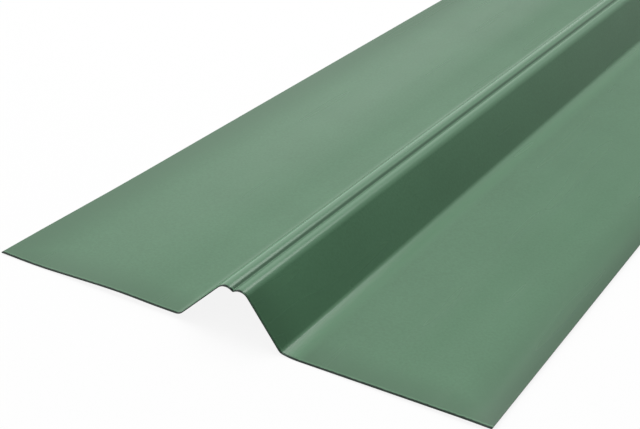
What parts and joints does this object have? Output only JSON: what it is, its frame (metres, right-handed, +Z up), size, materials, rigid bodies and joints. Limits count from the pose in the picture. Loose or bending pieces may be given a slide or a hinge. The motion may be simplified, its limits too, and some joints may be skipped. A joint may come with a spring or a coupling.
{
  "type": "roof ridge cap",
  "caption": "Long folded sheet-metal cap with a flat flange on each side of a raised rib, whose rounded crest is creased along its middle. It covers the ridge of a pitched roof.",
  "frame": {"origin": "on the floor under the middle of the cap, on the plane of the flanges' undersides", "axes": "+X across the cap, from the left flange to the right one as seen from the near end; +Y along its length, away from the near end; +Z up through the rib"},
  "size_m": [0.29, 2, 0.0264],
  "materials": {
    "green_coated_steel": "semi-matt coil coating with a fine grain"
  },
  "bodies": {
    "root": {"ridge_cap": "green_coated_steel"}
  },
  "joints": []
}
